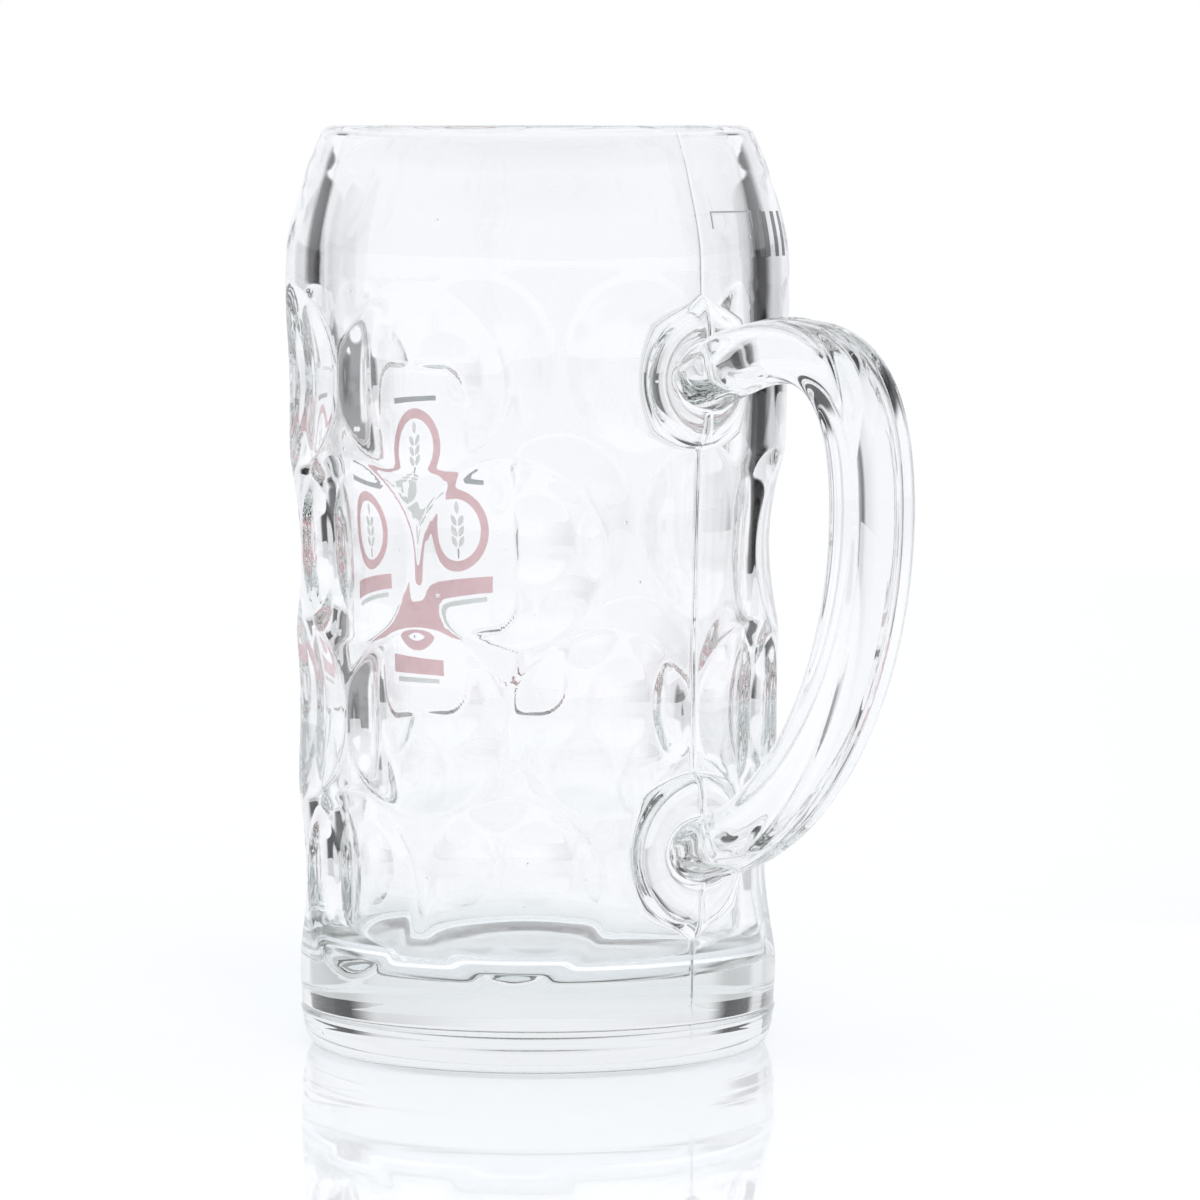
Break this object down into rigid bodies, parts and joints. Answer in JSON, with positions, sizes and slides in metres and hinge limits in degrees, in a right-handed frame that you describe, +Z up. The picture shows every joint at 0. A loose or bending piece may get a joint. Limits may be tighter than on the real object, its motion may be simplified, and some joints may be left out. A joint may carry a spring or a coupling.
{
  "type": "beer mug",
  "caption": "Tall clear glass beer mug with rows of round dimples, a smooth printed panel, a rounded lip, a heavy base and a solid bow handle on flared roots.",
  "frame": {"origin": "centre of the flat base, on the body's axis", "axes": "+Z up along the body's axis, +X towards the handle, the smooth panel faces -X"},
  "size_m": [0.1669, 0.1072, 0.196],
  "materials": {
    "clear_glass": "clear soda-lime glass, fire polished",
    "red_enamel": "fired enamel, satin gloss",
    "grey_enamel": "fired enamel, satin gloss",
    "dark_enamel": "fired enamel, satin gloss"
  },
  "bodies": {
    "root": {"body": "clear_glass", "handle": "clear_glass", "fill_mark": "dark_enamel", "volume_bar_1": "dark_enamel", "volume_bar_2": "dark_enamel", "volume_bar_3": "dark_enamel", "print_ring": "red_enamel", "print_top_bar": "dark_enamel", "print_band": "red_enamel", "print_foot_bar": "grey_enamel", "print_stem": "dark_enamel", "print_grain_left_1": "grey_enamel", "print_grain_left_2": "grey_enamel", "print_grain_left_3": "grey_enamel", "print_grain_right_1": "grey_enamel", "print_grain_right_2": "grey_enamel", "print_grain_right_3": "grey_enamel", "print_grain_tip": "grey_enamel"}
  },
  "joints": []
}
